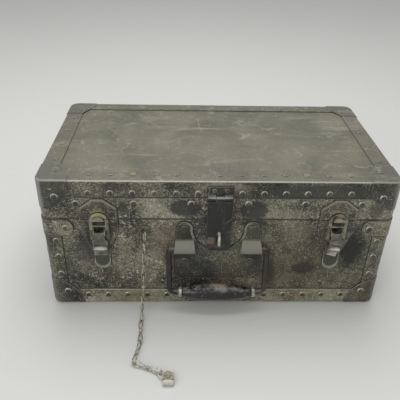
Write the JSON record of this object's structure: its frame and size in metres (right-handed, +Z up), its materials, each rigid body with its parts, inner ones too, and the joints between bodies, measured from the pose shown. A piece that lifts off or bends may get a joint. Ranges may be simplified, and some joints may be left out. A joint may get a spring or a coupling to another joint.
{
  "type": "metal storage chest",
  "caption": "Metal-bound storage chest with a hinged lid, riveted edge bindings and corner caps, draw catches, a hasp and staple, a leather bail handle and a chained padlock.",
  "frame": {"origin": "under the middle of the closed chest, at the height of its lowest faces, counting the hanging handle and the hinge knuckles but not the loose chain and its padlock", "axes": "+X along the width to the right as seen from the front, -Y out of the front, +Z up"},
  "size_m": [0.462, 0.4018, 0.201],
  "materials": {
    "body_paint": "dusty, speckled, near-black olive paint",
    "lid_paint": "smooth dark olive paint, scuffed and dusty",
    "bottom_binding_paint": "worn dark paint, bare at the edges",
    "corner_binding_paint": "worn dark paint, bare at the edges",
    "lid_binding_paint": "worn dark paint, bare at the edges",
    "rim_band_paint": "dusty dark paint",
    "bottom_cap_paint": "dark paint, rubbed bare on the corner",
    "lid_cap_paint": "dark paint, rubbed bare on the corner",
    "strap_paint": "dark paint with bare edges",
    "rivet_metal": "paint rubbed off the heads",
    "tongue_metal": "dull grey paint",
    "plate_paint": "dusty dark paint, bright on the barrels",
    "bail_wire": "black paint, chipped",
    "grip_leather": "glossy black leather, worn tan on top",
    "ferrule_metal": "worn bright",
    "hasp_paint": "near-black satin paint",
    "hasp_pin_steel": "dull",
    "staple_rust": "rusty dark paint",
    "staple_steel": "worn bright, a little rusty",
    "catch_paint": "worn dark paint with bright edges",
    "lever_metal": "dull worn steel",
    "stirrup_metal": "stained steel",
    "pin_steel": "dull steel",
    "hinge_paint": "worn dark paint",
    "anchor_metal": "tarnished",
    "chain_wire": "tarnished wire",
    "lock_metal": "tarnished grey",
    "shackle_metal": "tarnished"
  },
  "bodies": {
    "case": {"body_shell": "body_paint", "rim_tongue": "tongue_metal", "bottom_binding_front": "bottom_binding_paint", "bottom_binding_back": "bottom_binding_paint", "bottom_binding_left": "bottom_binding_paint", "bottom_binding_right": "bottom_binding_paint", "corner_binding_front_left": "corner_binding_paint", "corner_binding_front_right": "corner_binding_paint", "corner_binding_back_left": "corner_binding_paint", "corner_binding_back_right": "corner_binding_paint", "bottom_cap_front_left": "bottom_cap_paint", "bottom_cap_front_right": "bottom_cap_paint", "bottom_cap_back_left": "bottom_cap_paint", "bottom_cap_back_right": "bottom_cap_paint", "rim_strap_front_left": "strap_paint", "rim_strap_front_right": "strap_paint", "rim_strap_back_left": "strap_paint", "rim_strap_back_right": "strap_paint", "body_rivets": "rivet_metal", "body_hardware_rivets": "rivet_metal", "handle_plate": "plate_paint", "staple_plate": "staple_rust", "hasp_staple": "staple_steel", "catch_base_left": "catch_paint", "catch_base_right": "catch_paint", "lever_pins": "pin_steel", "hinge_lower_leaves": "hinge_paint", "hinge_pins": "pin_steel", "chain_anchor": "anchor_metal", "chain_links": "chain_wire", "padlock_body": "lock_metal"},
    "lid": {"lid_shell": "lid_paint", "lid_binding_front": "lid_binding_paint", "lid_binding_back": "lid_binding_paint", "lid_binding_left": "lid_binding_paint", "lid_binding_right": "lid_binding_paint", "lid_rim_band": "rim_band_paint", "lid_cap_front_left": "lid_cap_paint", "lid_cap_front_right": "lid_cap_paint", "lid_cap_back_left": "lid_cap_paint", "lid_cap_back_right": "lid_cap_paint", "lid_rivets": "rivet_metal", "lid_rim_rivets": "rivet_metal", "lid_hardware_rivets": "rivet_metal", "keeper_left": "catch_paint", "keeper_right": "catch_paint", "hasp_leaf": "hasp_paint", "hasp_pin": "hasp_pin_steel", "hinge_upper_leaves": "hinge_paint"},
    "hasp": {"hasp_strap": "hasp_paint"},
    "lever_left": {"lever_left": "lever_metal"},
    "lever_right": {"lever_right": "lever_metal"},
    "stirrup_left": {"stirrup_left": "stirrup_metal"},
    "stirrup_right": {"stirrup_right": "stirrup_metal"},
    "handle": {"handle_bail": "bail_wire", "handle_grip": "grip_leather", "handle_ferrules": "ferrule_metal"},
    "padlock_shackle": {"padlock_shackle": "shackle_metal"}
  },
  "joints": [
    {"name": "lid_hinge", "type": "hinge", "parent": "case", "child": "lid", "pos_m": [0, 0.13865, 0.143], "axis": [-1, 0, 0], "range_deg": [0, 110]},
    {"name": "hasp_hinge", "type": "hinge", "parent": "lid", "child": "hasp", "pos_m": [0, -0.12055, 0.176], "axis": [-1, 0, 0], "range_deg": [0, 150]},
    {"name": "handle_swing", "type": "hinge", "parent": "case", "child": "handle", "pos_m": [0, -0.12185, 0.0985], "axis": [-1, 0, 0], "range_deg": [0, 160]},
    {"name": "lever_left_turn", "type": "hinge", "parent": "case", "child": "lever_left", "pos_m": [-0.153, -0.12305, 0.125], "axis": [-1, 0, 0], "range_deg": [0, 100]},
    {"name": "stirrup_left_turn", "type": "hinge", "parent": "lever_left", "child": "stirrup_left", "pos_m": [-0.153, -0.12105, 0.116], "axis": [-1, 0, 0], "range_deg": [-84, 0]},
    {"name": "lever_right_turn", "type": "hinge", "parent": "case", "child": "lever_right", "pos_m": [0.153, -0.12305, 0.125], "axis": [-1, 0, 0], "range_deg": [0, 100]},
    {"name": "stirrup_right_turn", "type": "hinge", "parent": "lever_right", "child": "stirrup_right", "pos_m": [0.153, -0.12105, 0.116], "axis": [-1, 0, 0], "range_deg": [-84, 0]},
    {"name": "shackle_slide", "type": "slide", "parent": "case", "child": "padlock_shackle", "axis": [-0.7071, 0.7071, 0], "range_m": [0, 0.0025]}
  ],
  "couplings": [
    {"joint": "stirrup_left_turn", "follows": "lever_left_turn", "ratio": -0.84},
    {"joint": "stirrup_right_turn", "follows": "lever_right_turn", "ratio": -0.84}
  ]
}
